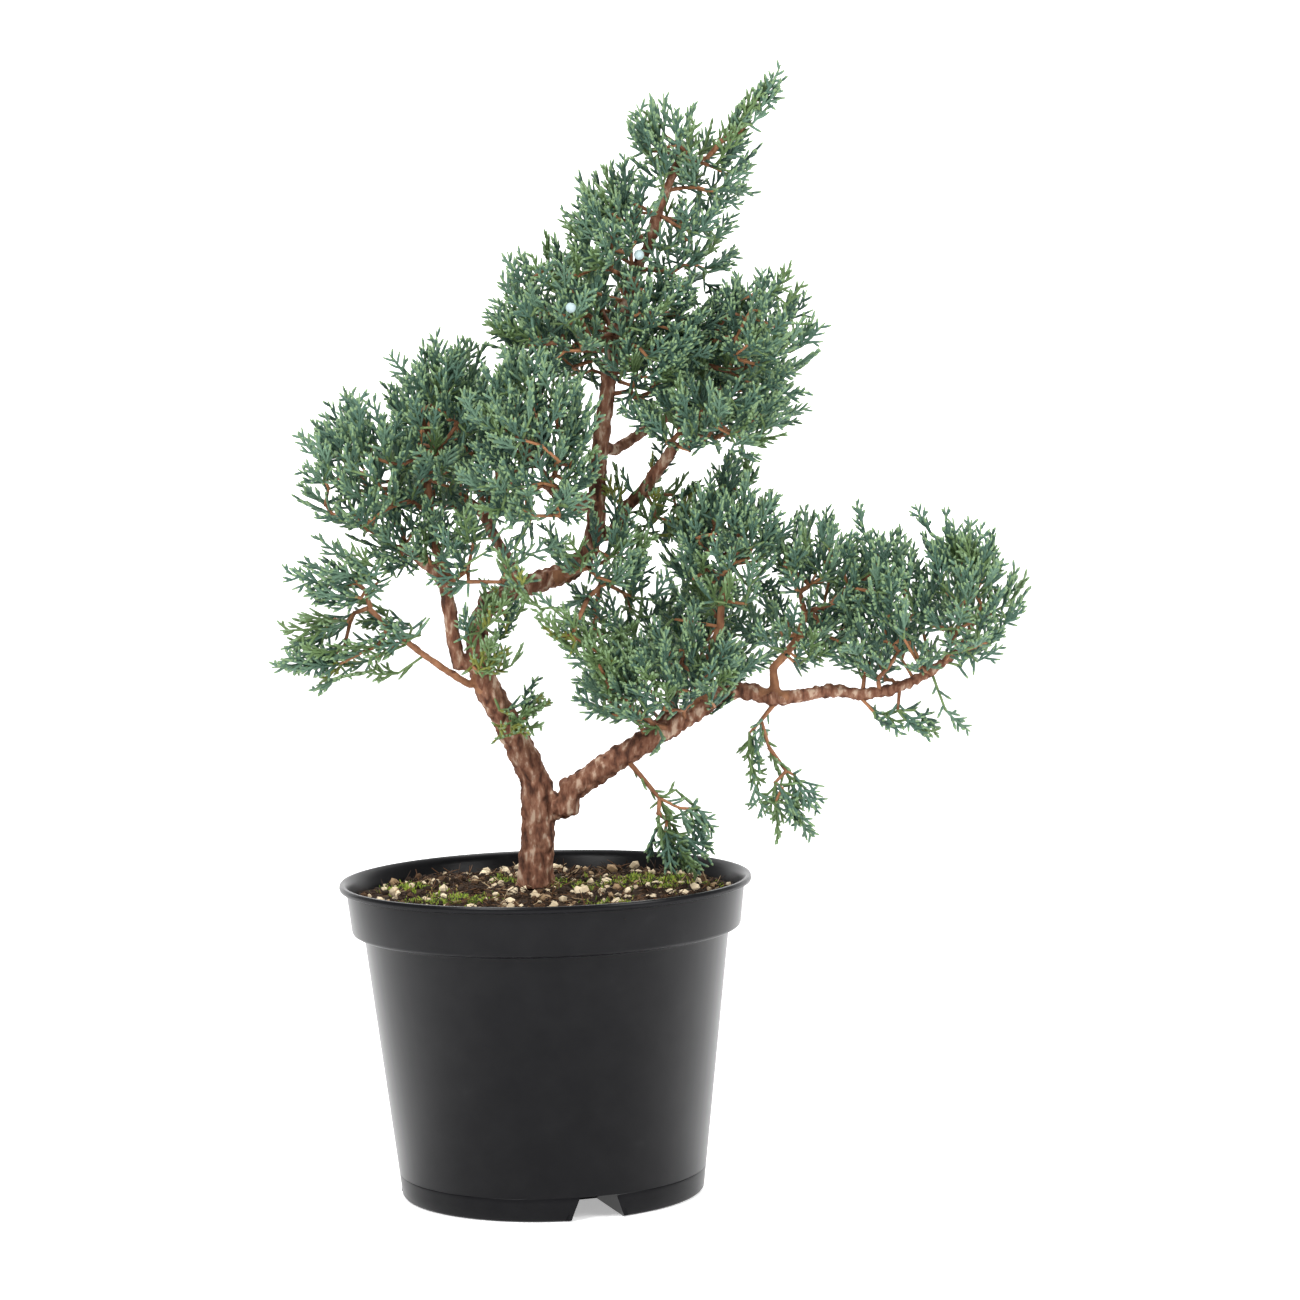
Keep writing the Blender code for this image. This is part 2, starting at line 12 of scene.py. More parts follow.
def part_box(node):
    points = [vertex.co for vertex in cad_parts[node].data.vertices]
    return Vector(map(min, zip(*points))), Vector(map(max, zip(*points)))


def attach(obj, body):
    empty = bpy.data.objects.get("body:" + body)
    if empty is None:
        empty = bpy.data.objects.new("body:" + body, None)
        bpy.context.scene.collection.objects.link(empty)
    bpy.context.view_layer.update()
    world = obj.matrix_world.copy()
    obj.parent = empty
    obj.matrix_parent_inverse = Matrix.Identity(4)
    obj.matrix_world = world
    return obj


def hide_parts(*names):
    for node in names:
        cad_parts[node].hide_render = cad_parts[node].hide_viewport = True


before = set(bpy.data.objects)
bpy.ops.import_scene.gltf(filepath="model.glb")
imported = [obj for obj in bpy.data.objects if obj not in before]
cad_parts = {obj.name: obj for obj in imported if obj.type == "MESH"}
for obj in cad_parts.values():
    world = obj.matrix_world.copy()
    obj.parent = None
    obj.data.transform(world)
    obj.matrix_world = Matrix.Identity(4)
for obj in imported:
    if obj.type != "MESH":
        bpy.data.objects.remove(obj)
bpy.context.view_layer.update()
mm = 0.001
merging = 0.01 * mm
up = Vector((0, 0, 1))
dice = random.Random(41)
print("frame loaded")


# Materials

patterns = dict(detail=5, bumpDepth=0.3)


def newMaterial(name, colour, roughness, specular):
    made = bpy.data.materials.new(name)
    made.use_nodes = True
    shader = made.node_tree.nodes["Principled BSDF"]
    shader.inputs["Base Color"].default_value = (*colour, 1)
    shader.inputs["Roughness"].default_value = roughness
    shader.inputs["Specular IOR Level"].default_value = specular
    return made


def addPattern(made, size, colours, stretch=(1, 1, 1), bump=0.0):
    # colours are (place on the ramp, colour) pairs; size is the pattern's in millimetres
    nodes, links = made.node_tree.nodes, made.node_tree.links
    shader = nodes["Principled BSDF"]
    place = nodes.new("ShaderNodeTexCoord")
    mapping = nodes.new("ShaderNodeMapping")
    mapping.inputs["Scale"].default_value = stretch
    pattern = nodes.new("ShaderNodeTexNoise")
    pattern.inputs["Scale"].default_value = 1 / (size * mm)
    pattern.inputs["Detail"].default_value = patterns["detail"]
    ramp = nodes.new("ShaderNodeValToRGB")
    while len(ramp.color_ramp.elements) < len(colours):
        ramp.color_ramp.elements.new(0.5)
    for stop, (at, colour) in zip(ramp.color_ramp.elements, colours):
        stop.position = at
        stop.color = (*colour, 1)
    links.new(place.outputs["Object"], mapping.inputs["Vector"])
    links.new(mapping.outputs["Vector"], pattern.inputs["Vector"])
    links.new(pattern.outputs["Fac"], ramp.inputs["Fac"])
    links.new(ramp.outputs["Color"], shader.inputs["Base Color"])
    if bump:
        relief = nodes.new("ShaderNodeBump")
        relief.inputs["Strength"].default_value = bump
        relief.inputs["Distance"].default_value = patterns["bumpDepth"] * mm
        links.new(pattern.outputs["Fac"], relief.inputs["Height"])
        links.new(relief.outputs["Normal"], shader.inputs["Normal"])
    return made


# Pieces

def finished(piece, slot, *nodes):
    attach(piece, "root")
    if nodes:
        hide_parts(*nodes)


def addObject(name, mesh, *materials):
    piece = bpy.data.objects.new(name, mesh)
    bpy.context.scene.collection.objects.link(piece)
    for made in materials:
        mesh.materials.append(made)
    return piece


def bakedModifiers(piece):
    evaluated = piece.evaluated_get(bpy.context.evaluated_depsgraph_get())
    mesh = bpy.data.meshes.new_from_object(evaluated)
    piece.modifiers.clear()
    piece.data = mesh
    return piece


def meshFrom(bm, name):
    mesh = bpy.data.meshes.new(name)
    bm.to_mesh(mesh)
    bm.free()
    return mesh


def meshFromArrays(name, points, triangles, materialNumbers):
    mesh = bpy.data.meshes.new(name)
    mesh.vertices.add(len(points))
    mesh.vertices.foreach_set("co", points.astype(np.float32).ravel())
    mesh.loops.add(triangles.size)
    mesh.loops.foreach_set("vertex_index", triangles.astype(np.int32).ravel())
    mesh.polygons.add(len(triangles))
    mesh.polygons.foreach_set("loop_start", np.arange(0, triangles.size, 3, dtype=np.int32))
    mesh.polygons.foreach_set("material_index", materialNumbers.astype(np.int32))
    mesh.update(calc_edges=True)
    mesh.validate()
    mesh.shade_smooth()
    return mesh


# Cords: each is a slim closed tube. Every other ring is turned by half a side, so that the faces
# lie like scales. A cord is (start, heading, bend, length, radius, material number), and a profile
# gives (share of the length, share of the radius) for each ring.

def cordArrays(cords, profile, sides, tipNumber=None):
    count, rings = len(cords), len(profile)
    start, heading, bend = [np.array([cord[item] for cord in cords]) for item in range(3)]
    length = np.array([cord[3] for cord in cords])[:, None, None]
    radius = np.array([cord[4] for cord in cords])[:, None, None, None]
    shares = np.array([share for share, _ in profile])[None, :, None]
    widths = np.array([width for _, width in profile])[None, :, None, None]
    steep = np.abs(heading[:, 2:3]) > 0.8
    helper = np.where(steep, [[1.0, 0, 0]], [[0, 0, 1.0]])
    across = np.cross(heading, helper)
    across /= np.linalg.norm(across, axis=1)[:, None]
    other = np.cross(heading, across)
    centres = start[:, None] + heading[:, None] * length * shares + bend[:, None] * shares ** 2
    halfSteps = 0.5 * (np.arange(rings)[:, None] % 2)
    angles = (np.arange(sides)[None, :] + halfSteps) * math.tau / sides
    outward = (np.cos(angles)[None, :, :, None] * across[:, None, None]
               + np.sin(angles)[None, :, :, None] * other[:, None, None])
    points = (centres[:, :, None] + outward * radius * widths).reshape(-1, 3)
    faces = []
    tips = []
    for ring in range(rings - 1):
        low, high = ring * sides, (ring + 1) * sides
        for side in range(sides):
            after = (side + 1) % sides
            if ring % 2 == 0:
                faces.append((low + side, low + after, high + side))
                faces.append((low + after, high + after, high + side))
            else:
                faces.append((low + side, high + after, high + side))
                faces.append((low + side, low + after, high + after))
            tips += [ring == rings - 2] * 2
    last = (rings - 1) * sides
    for side in range(1, sides - 1):
        faces += [(0, side + 1, side), (last, last + side, last + side + 1)]
        tips += [False, True]
    faces = np.array(faces)
    triangles = (faces[None] + (np.arange(count) * rings * sides)[:, None, None]).reshape(-1, 3)
    numbers = np.repeat(np.array([cord[5] for cord in cords])[:, None], len(faces), axis=1)
    if tipNumber is not None:
        numbers[:, np.array(tips)] = tipNumber
    return points, triangles, numbers.ravel()


def around(heading, angle, normal):
    return (Matrix.Rotation(angle, 3, normal) @ heading).normalized()


def anyDirection():
    return Vector([dice.gauss(0, 1) for _ in range(3)]).normalized()


# Pot: a turned shell, with folded drain channels and drain holes cut into its foot

pot = dict(
    steps=144, sharpAngle=38, wall=1.4, footRadius=69.8, topRadius=84.3, bandFoot=123,
    # (radius, height) corners: the outside from the middle up, the lip, the inside down
    foot=[(0, 0), (68, 0), (69.2, 0.35), (69.9, 1.3)],
    seam=10.9, seamHalf=0.5, seamDepth=0.3, bodyTop=120.8,
    band=[(84.6, 121.7), (88.3, 122.6), (89.3, 123.2), (89.7, 124.2)],
    lip=[(91.8, 142.5), (93.9, 142.8), (94.7, 143.2), (95, 144.1), (94.9, 145.1), (94.4, 145.8),
         (93.6, 146), (92.8, 145.7), (91.6, 144.2), (90.6, 142.5)],
    shelf=[(88.1, 125.8), (83, 123)],
    channels=3, firstChannel=-72, channelHeight=11, floorWidth=26, topWidth=17, innerEnd=27,
    drainRadius=4, drainDistance=50, drainDepth=8, drainSides=32,
)


def bodyRadius(height):
    return pot["footRadius"] + (pot["topRadius"] - pot["footRadius"]) * height / pot["bandFoot"]


def turned(profile):
    bm = bmesh.new()
    points = [bm.verts.new((radius * mm, 0, height * mm)) for radius, height in profile]
    edges = [bm.edges.new(pair) for pair in zip(points, points[1:])]
    bmesh.ops.spin(bm, geom=points + edges, cent=(0, 0, 0), axis=(0, 0, 1), angle=math.tau,
                   steps=pot["steps"], use_merge=True)
    bmesh.ops.remove_doubles(bm, verts=bm.verts, dist=merging)
    bmesh.ops.recalc_face_normals(bm, faces=bm.faces)
    return bm


def channelTurn(number):
    return math.radians(pot["firstChannel"] + 360 * number / pot["channels"])


def channelCutter(name, grow, foot, start, end):
    # a bar along each drain channel, from start to end, and grow larger than it on each side
    halfFloor, halfTop = pot["floorWidth"] / 2 + grow, pot["topWidth"] / 2 + grow
    top = pot["channelHeight"] + grow
    section = [(-halfFloor, foot), (halfFloor, foot), (halfTop, top), (-halfTop, top)]
    bm = bmesh.new()
    for number in range(pot["channels"]):
        turn = Matrix.Rotation(channelTurn(number), 3, "Z")
        corners = [bm.verts.new((start * mm, side * mm, height * mm)) for side, height in section]
        pushed = bmesh.ops.extrude_face_region(bm, geom=[bm.faces.new(corners)])["geom"]
        far = [item for item in pushed if isinstance(item, bmesh.types.BMVert)]
        bmesh.ops.translate(bm, vec=((end - start) * mm, 0, 0), verts=far)
        bmesh.ops.rotate(bm, cent=(0, 0, 0), matrix=turn, verts=corners + far)
    bmesh.ops.recalc_face_normals(bm, faces=bm.faces)
    return addObject(name, meshFrom(bm, name))


def drainCutter():
    bm = bmesh.new()
    at = Vector((pot["drainDistance"], 0, pot["channelHeight"])) * mm
    for number in range(pot["channels"]):
        place = Matrix.Rotation(channelTurn(number), 4, "Z") @ Matrix.Translation(at)
        bmesh.ops.create_cone(bm, cap_ends=True, segments=pot["drainSides"],
                              radius1=pot["drainRadius"] * mm, radius2=pot["drainRadius"] * mm,
                              depth=pot["drainDepth"] * mm, matrix=place)
    return addObject("drainCutter", meshFrom(bm, "drainCutter"))


def buildPot():
    wall, seam, half = pot["wall"], pot["seam"], pot["seamHalf"]
    body = [(bodyRadius(seam - half), seam - half), (bodyRadius(seam) - pot["seamDepth"], seam),
            (bodyRadius(seam + half), seam + half), (bodyRadius(pot["bodyTop"]), pot["bodyTop"])]
    inside = pot["shelf"] + [(bodyRadius(wall) - wall, wall), (0, wall)]
    mesh = meshFrom(turned(pot["foot"] + body + pot["band"] + pot["lip"] + inside), "potBody")
    mesh.shade_smooth()
    mesh.set_sharp_from_angle(angle=math.radians(pot["sharpAngle"]))
    plastic = addPattern(newMaterial("blackPlastic", (0.004, 0.004, 0.005), 0.3, 0.13), 14,
                         [(0.35, (0.003, 0.003, 0.004)), (0.66, (0.005, 0.005, 0.006)),
                          (0.80, (0.009, 0.009, 0.010))], bump=0.03)
    piece = addObject("potBody", mesh, plastic)
    # the hollows end outside the body, past its radius a millimetre over the channels' top
    outerEnd = bodyRadius(pot["channelHeight"] + 1) + 3 * wall
    cutters = [
        (channelCutter("folds", wall, wall / 2, pot["innerEnd"] - wall,
                       pot["footRadius"] - wall / 2), "UNION"),
        (channelCutter("hollows", 0, -wall, pot["innerEnd"], outerEnd), "DIFFERENCE"),
        (drainCutter(), "DIFFERENCE"),
    ]
    for cutter, operation in cutters:
        cut = piece.modifiers.new(cutter.name, "BOOLEAN")
        cut.operation = operation
        cut.object = cutter
        cut.solver = "EXACT"
    bakedModifiers(piece)
    for cutter, _ in cutters:
        bpy.data.objects.remove(cutter, do_unlink=True)
    finished(piece, "pot", "pot")


buildPot()
print("pot built")


# Soil: peat with its lumps, and fibres, clods, grit and moss strewn over it

soil = dict(
    middle=140.2, edge=138.0, radius=89.6, depth=14, rings=70, segments=200,
    lump=13, lumpHeight=3.2, edgeFade=8, grit=3.0, gritHeight=1.3, gritOctaves=3, sink=0.6,
    skirtInset=1.2, skirtHeight=126.5, footRadius=82,
)


def soilHeight(x, y):
    share = min(1, math.hypot(x, y) / soil["radius"])
    place = Vector((x, y, 0))
    lumps = noise.noise(place / soil["lump"])
    grit = noise.turbulence(place / soil["grit"], soil["gritOctaves"], False)
    return (soil["middle"] + (soil["edge"] - soil["middle"]) * share
            + soil["lumpHeight"] * lumps * (1 - share ** soil["edgeFade"])
            + soil["gritHeight"] * grit - soil["sink"])


def soilPlace(reach):
    angle = dice.uniform(0, math.tau)
    distance = soil["radius"] * reach * math.sqrt(dice.random())
    x, y = distance * math.cos(angle), distance * math.sin(angle)
    return Vector((x, y, soilHeight(x, y)))


def buildSoil():
    bm = bmesh.new()
    rows = []
    for ring in range(1, soil["rings"] + 1):
        radius = soil["radius"] * ring / soil["rings"]
        row = []
        for step in range(soil["segments"]):
            angle = math.tau * step / soil["segments"]
            x, y = radius * math.cos(angle), radius * math.sin(angle)
            row.append(bm.verts.new(Vector((x, y, soilHeight(x, y))) * mm))
        rows.append(row)
    rim = rows[-1]
    skirt = [(soil["radius"] - soil["skirtInset"], soil["skirtHeight"]),
             (soil["footRadius"], soil["edge"] - soil["depth"])]
    for radius, height in skirt:
        rows.append([bm.verts.new((v.co.x * radius / soil["radius"], v.co.y * radius / soil["radius"],
                                   height * mm)) for v in rim])
    for inner, outer in zip(rows, rows[1:]):
        for one, (a, b) in enumerate(zip(inner, outer)):
            after = (one + 1) % soil["segments"]
            bm.faces.new((a, b, outer[after], inner[after]))
    bm.faces.new(rows[0])
    bm.faces.new(rows[-1][::-1])
    bmesh.ops.recalc_face_normals(bm, faces=bm.faces)
    mesh = meshFrom(bm, "peat")
    mesh.shade_smooth()
    peat = addPattern(newMaterial("peat", (0.03, 0.02, 0.013), 0.95, 0.2), 4,
                      [(0.35, (0.013, 0.008, 0.005)), (0.55, (0.045, 0.027, 0.016)),
                       (0.75, (0.11, 0.07, 0.04))], bump=0.6)
    finished(addObject("peat", mesh, peat), "soil", "soil")


fibres = dict(
    count=2600, reach=0.92, lift=0.3, length=(3, 11), radius=0.28, rise=(-0.1, 0.35), bend=0.18,
    # how often one is dark, red or pale
    shares=(6, 4, 1),
    profile=[(0, 0.5), (0.3, 1), (0.7, 0.9), (1, 0.4)], sides=3,
)


def buildFibres():
    browns = [newMaterial("fibreDark", (0.035, 0.02, 0.012), 0.9, 0.2),
              newMaterial("fibreRed", (0.11, 0.055, 0.026), 0.9, 0.2),
              newMaterial("fibrePale", (0.30, 0.21, 0.12), 0.9, 0.2)]
    cords = []
    for _ in range(fibres["count"]):
        length = dice.uniform(*fibres["length"])
        level = (dice.gauss(0, 1), dice.gauss(0, 1))
        heading = Vector((*level, dice.uniform(*fibres["rise"]))).normalized()
        at = soilPlace(fibres["reach"]) + up * fibres["lift"]
        bend = anyDirection() * length * fibres["bend"]
        cords.append((at * mm, heading, bend * mm, length * mm, fibres["radius"] * mm,
                      dice.choices((0, 1, 2), fibres["shares"])[0]))
    arrays = cordArrays(cords, fibres["profile"], fibres["sides"])
    finished(addObject("fibres", meshFromArrays("fibres", *arrays), *browns), "soil")


grains = dict(
    # how far a corner strays, and how long and wide a grain is, as shares of its size
    reach=0.96, jitter=(0.72, 1.18), length=(0.7, 1.25), width=(0.7, 1.1),
    # the shares are how often a clod is dark or brown, and a stone cream, pale or tan
    clods=1500, clodSize=(0.9, 2.6), clodLift=0.3, clodFlatness=0.8, clodShares=(3, 1),
    stones=270, stoneSize=(0.9, 3.0), stoneScale=(0.7, 1.1), stoneLift=0.55, stoneFlatness=0.85,
    stoneShares=(5, 4, 2),
)


def grainArrays(places, numbers, flatness):
    shape = bmesh.new()
    bmesh.ops.create_icosphere(shape, subdivisions=1, radius=1)
    base = np.array([v.co for v in shape.verts])
    faces = np.array([[v.index for v in face.verts] for face in shape.faces])
    shape.free()
    points = []
    for at, size in places:
        turn = np.array(Matrix.Rotation(dice.uniform(0, math.tau), 3, anyDirection()))
        jitter = np.array([dice.uniform(*grains["jitter"]) for _ in base])[:, None]
        squash = np.array([dice.uniform(*grains["length"]), dice.uniform(*grains["width"]), flatness])
        points.append((base * jitter * squash) @ turn.T * size * mm + np.array(at) * mm)
    triangles = (faces[None] + (np.arange(len(places)) * len(base))[:, None, None]).reshape(-1, 3)
    return np.concatenate(points), triangles, np.repeat(numbers, len(faces))


def buildGrains():
    clods = [(soilPlace(grains["reach"]) + up * grains["clodLift"], dice.uniform(*grains["clodSize"]))
             for _ in range(grains["clods"])]
    numbers = np.array([dice.choices((0, 1), grains["clodShares"])[0] for _ in clods])
    peats = [newMaterial("clodDark", (0.022, 0.013, 0.008), 0.95, 0.2),
             newMaterial("clodBrown", (0.075, 0.042, 0.022), 0.95, 0.2)]
    mesh = meshFromArrays("clods", *grainArrays(clods, numbers, grains["clodFlatness"]))
    mesh.shade_flat()
    finished(addObject("clods", mesh, *peats), "soil")
    stones = []
    for _ in range(grains["stones"]):
        size = dice.uniform(*grains["stoneSize"]) * dice.uniform(*grains["stoneScale"])
        stones.append((soilPlace(grains["reach"]) + up * (grains["stoneLift"] * size), size))
    numbers = np.array([dice.choices((0, 1, 2), grains["stoneShares"])[0] for _ in stones])
    tans = [newMaterial("grainCream", (0.70, 0.58, 0.40), 0.85, 0.3),
            newMaterial("grainPale", (0.52, 0.42, 0.28), 0.85, 0.3),
            newMaterial("grainTan", (0.30, 0.20, 0.11), 0.85, 0.3)]
    mesh = meshFromArrays("grit", *grainArrays(stones, numbers, grains["stoneFlatness"]))
    mesh.shade_flat()
    finished(addObject("grit", mesh, *tans), "soil")


moss = dict(
    count=5200, length=(1.2, 3.2), radius=0.32, lean=0.8, leastRise=0.15, bend=0.3, sink=0.2,
    # scatter is a share of a patch's radius; no shoot stands where the noise is under clumpLimit
    reach=0.95, scatter=0.42, clump=7, clumpLimit=-0.08,
    # how often a shoot is deep, bright or dry
    shares=(4, 4, 1),
    profile=[(0, 0.9), (0.5, 1.3), (1, 0.4)], sides=3,
    # middle and radius of each patch
    patches=[((48, 20), 24), ((-42, -22), 20), ((-66, 24), 15), ((14, 14), 15), ((30, -52), 16),
             ((-18, 34), 15), ((72, 18), 13)],
)


def buildMoss():
    greens = [newMaterial("mossDeep", (0.075, 0.11, 0.018), 0.9, 0.2),
              newMaterial("mossBright", (0.20, 0.27, 0.03), 0.9, 0.2),
              newMaterial("mossDry", (0.24, 0.20, 0.06), 0.9, 0.2)]
    cords = []
    areas = [radius ** 2 for _, radius in moss["patches"]]
    while len(cords) < moss["count"]:
        (x, y), radius = dice.choices(moss["patches"], areas)[0]
        scatter = radius * moss["scatter"]
        place = Vector((x + dice.gauss(0, scatter), y + dice.gauss(0, scatter), 0))
        tooFar = place.length > soil["radius"] * moss["reach"]
        if tooFar or noise.noise(place / moss["clump"]) < moss["clumpLimit"]:
            continue
        place.z = soilHeight(place.x, place.y) - moss["sink"]
        length = dice.uniform(*moss["length"])
        heading = (up + anyDirection() * moss["lean"]).normalized()
        if heading.z < moss["leastRise"]:
            continue
        cords.append((place * mm, heading, anyDirection() * moss["bend"] * mm, length * mm,
                      moss["radius"] * mm, dice.choices((0, 1, 2), moss["shares"])[0]))
    arrays = cordArrays(cords, moss["profile"], moss["sides"])
    finished(addObject("moss", meshFromArrays("moss", *arrays), *greens), "soil")


buildSoil()
buildFibres()
buildGrains()
buildMoss()
print("soil built")


# Bark: all limbs joined into one fine skin, with plates and cracks worked into it

bark = dict(
    thick=["trunk", "left_limb", "cross_limb", "leader", "right_bough", "right_bough_end"],
    medium=["left_bough", "back_left_bough", "front_bough", "upper_right_bough", "back_right_bough",
            "back_low_bough"],
    thin=["left_riser", "lower_left_twig", "centre_twig", "right_riser_inner", "right_riser_outer"],
    # how strong the relief is on each of them
    relief=dict(thick=1, medium=0.55, thin=0.25),
    voxel=0.72, overlap=0.5, smoothing=7, softness=0.5,
    plate=4.2, plateStretch=0.45, plateHeight=1.15, plateSink=0.6, crack=0.55,
    tilt=0.5, tiltScale=0.6, fine=1.5, fineHeight=0.35, swell=0.15,
)
limbNodes = bark["thick"] + bark["medium"] + bark["thin"]


def barkHeight(place):
    stretched = Vector((place.x, place.y, place.z * bark["plateStretch"])) / (bark["plate"] * mm)
    near, _ = noise.voronoi(stretched)
    plate = min(1, (near[1] - near[0]) / bark["crack"])
    tilt = noise.noise(stretched * bark["tiltScale"])
    fine = noise.noise(place / (bark["fine"] * mm))
    return (bark["swell"] + (plate - bark["plateSink"]) * bark["plateHeight"] + tilt * bark["tilt"]
            + fine * bark["fineHeight"])


def joinedLimbs():
    bm = bmesh.new()
    for node in limbNodes:
        bm.from_mesh(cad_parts[node].data)
    bmesh.ops.remove_doubles(bm, verts=bm.verts, dist=merging)
    bm.normal_update()
    for vertex, normal in [(v, v.normal.copy()) for v in bm.verts]:
        vertex.co += normal * bark["overlap"] * mm
    return meshFrom(bm, "bark")


def buildBark():
    old = addPattern(newMaterial("oldBark", (0.2, 0.1, 0.06), 0.85, 0.25), 3.2,
                     [(0.32, (0.05, 0.02, 0.012)), (0.46, (0.15, 0.062, 0.036)),
                      (0.56, (0.23, 0.115, 0.072)), (0.65, (0.42, 0.30, 0.22))],
                     stretch=(1, 1, 0.4), bump=0.6)
    young = addPattern(newMaterial("youngBark", (0.3, 0.14, 0.07), 0.75, 0.3), 4,
                       [(0.35, (0.15, 0.06, 0.028)), (0.65, (0.30, 0.14, 0.07))], stretch=(1, 1, 0.5))
    piece = addObject("bark", joinedLimbs())
    grown = piece.modifiers.new("grown", "REMESH")
    grown.mode = "VOXEL"
    grown.voxel_size = bark["voxel"] * mm
    soft = piece.modifiers.new("soft", "SMOOTH")
    soft.factor = bark["softness"]
    soft.iterations = bark["smoothing"]
    mesh = bakedModifiers(piece).data
    kinds = [(v.co, kind) for kind in bark["relief"] for node in bark[kind]
             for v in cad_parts[node].data.vertices]
    nearest = KDTree(len(kinds))
    for number, (place, _) in enumerate(kinds):
        nearest.insert(place, number)
    nearest.balance()
    for vertex, normal in [(v, v.normal.copy()) for v in mesh.vertices]:
        kind = kinds[nearest.find(vertex.co)[1]][1]
        vertex.co += normal * barkHeight(vertex.co) * bark["relief"][kind] * mm
    mesh.materials.clear()
    mesh.materials.append(old)
    mesh.materials.append(young)
    for face in mesh.polygons:
        face.material_index = int(kinds[nearest.find(face.center)[1]][1] == "thin")
    mesh.shade_smooth()
    finished(piece, "bark", *limbNodes)
    print("bark faces", len(mesh.polygons))
    return young


youngBark = buildBark()
print("bark built")


# Foliage: points are spread through each mass, a twig grows to each from the wood or twig that
# keeps its way short, and every twig ends in a flat spray of scaly cords

foliage = dict(
    # a point for every spacing cubed, at least room apart, then drawn in to the mass's middle
    spacing=10.2, leastPoints=4, tries=60, room=3.0, inset=0.88,
    # corners this much further out than usual get a point too, standInset short of them
    standOut=1.28, standInset=9,
    # the ray that tells inside from outside, and how far past each hit it goes on
    ray=(1, 0.013, 0.007), rayStep=0.01, mostHits=40,
    # hub is how far under the middle the sprays fan out from, as a share of the mass's height
    hub=0.32, pull=(0, -0.05, 0.6),
    # what steers a spray, and how strongly
    outward=0.9, along=0.5, pulled=0.4, stray=0.3,
    # factor on the light and the deep weights at the middle, and its change to the farthest spray:
    # painted shade inside each mass and painted light on its outside
    light=(0.3, 1.6), deep=(1.8, -1.5),
    # single cords along the end of each twig
    leafyLength=26, leafStep=3.6, leafStart=0.1, leafAngle=(30, 50), leafLength=(5, 10),
    cordLimit=5200,
)

sprays = dict(
    length=(11, 18), cordRadius=0.68, radiusScale=(0.88, 1.12), rise=0.10, stray=0.07,
    profile=[(0, 0.75), (0.25, 1.12), (0.5, 0.9), (0.75, 1.08), (1, 0.5)], sides=4,
    # side cords: how many on a spray under and over shortLength, and where they leave the axis
    shortLength=13, fewCords=4, moreCords=6, firstShare=0.1, shareSpan=0.72, jitter=0.25,
    sideAngle=(28, 46), sideStray=0.16, sideLength=0.55, sideScale=(0.8, 1.2),
    sideStart=1.05, sideTaper=0.6,
    # side cords longer than forkFrom carry one more
    forkFrom=6, forkAngle=(30, 46), forkShare=0.42, forkLength=0.5,
)

twigs = dict(
    # spread is the cost of the way back to the limb, where new twig costs 1; tooNear is the cost
    # of a start closer than room, more than any way
    spread=0.3, tooNear=1.0, woodDigits=5,
    radius=0.42, growth=0.17, limit=1.3, sunk=0.6,
    # carrying more sprays than barkOver a twig has bark, over redOver it is red, and else green
    barkOver=5, redOver=2,
    profile=[(0, 1.1), (0.35, 1), (0.7, 0.94), (1, 0.8)], sides=5,
)

# masses that differ from the usual settings
habits = {
    "foliage_hanging_inner": dict(pull=(0.25, 0, -1), spacing=8.6, length=1.15),
    "foliage_hanging_middle": dict(pull=(0.2, 0, -1), spacing=9.4, length=1.2),
    "foliage_hanging_outer": dict(pull=(0.7, 0, -0.6), spacing=7.2, length=0.85),
    "foliage_front_shoot": dict(pull=(-0.6, -0.2, 0.75), spacing=6, length=0.8),
    "foliage_top_shoot": dict(pull=(0.6, -0.1, 0.9), spacing=4.4, length=0.75),
    "foliage_end_shoot": dict(pull=(-0.2, 0, 1), spacing=4.5, length=0.7),
    "foliage_left_open": dict(pull=(-0.9, -0.2, -0.1), spacing=9.4, length=1.25),
    "foliage_left_fan": dict(pull=(-0.9, -0.2, 0.2), spacing=9.5, length=1.2),
    "foliage_inner_stem": dict(pull=(0.2, -0.3, 1), spacing=9.6, length=0.8),
    "foliage_inner_tuft": dict(pull=(0.3, -0.4, 0.2), spacing=11, length=0.8),
    "foliage_end_inner": dict(spacing=9.7, inset=1.0),
    "foliage_end_outer": dict(spacing=9.7, inset=1.0),
    "foliage_outer_low": dict(inset=1.0),
    "foliage_mid_bough": dict(inset=0.95),
}

# the kinds of spray, and last the colour of every cord's tip; sprayDeep is partly painted shade and
# sprayLight partly painted light, as dealt in dressMass
palette = [("sprayLight", (0.098, 0.178, 0.118)), ("sprayBlue", (0.062, 0.126, 0.088)),
           ("sprayDeep", (0.032, 0.072, 0.050)), ("sprayGreen", (0.095, 0.158, 0.055)),
           ("sprayYellow", (0.170, 0.190, 0.035)), ("sprayTip", (0.165, 0.255, 0.125))]
# how often a spray is light, blue, deep, green or yellow
usual = (3, 6, 2, 1.2, 0)
# the middle, under_bough and centre_low masses lean to the deep colour: painted shade deep in the tree
# and under the bough
tints = {
    "foliage_hanging_inner": (3, 5, 0, 4, 0), "foliage_hanging_middle": (2, 4, 0, 5, 0),
    "foliage_front_shoot": (2, 0, 0, 7, 1), "foliage_top_shoot": (4, 2, 0, 4, 0),
    "foliage_left_open": (2, 5, 0, 4, 1), "foliage_inner_stem": (0, 1, 1, 5, 5),
    "foliage_inner_tuft": (0, 1, 1, 6, 3), "foliage_middle": (1, 4, 5, 0.5, 0),
    "foliage_under_bough": (0, 2, 4, 4, 2), "foliage_centre_low": (1, 4, 3, 3, 0),
}

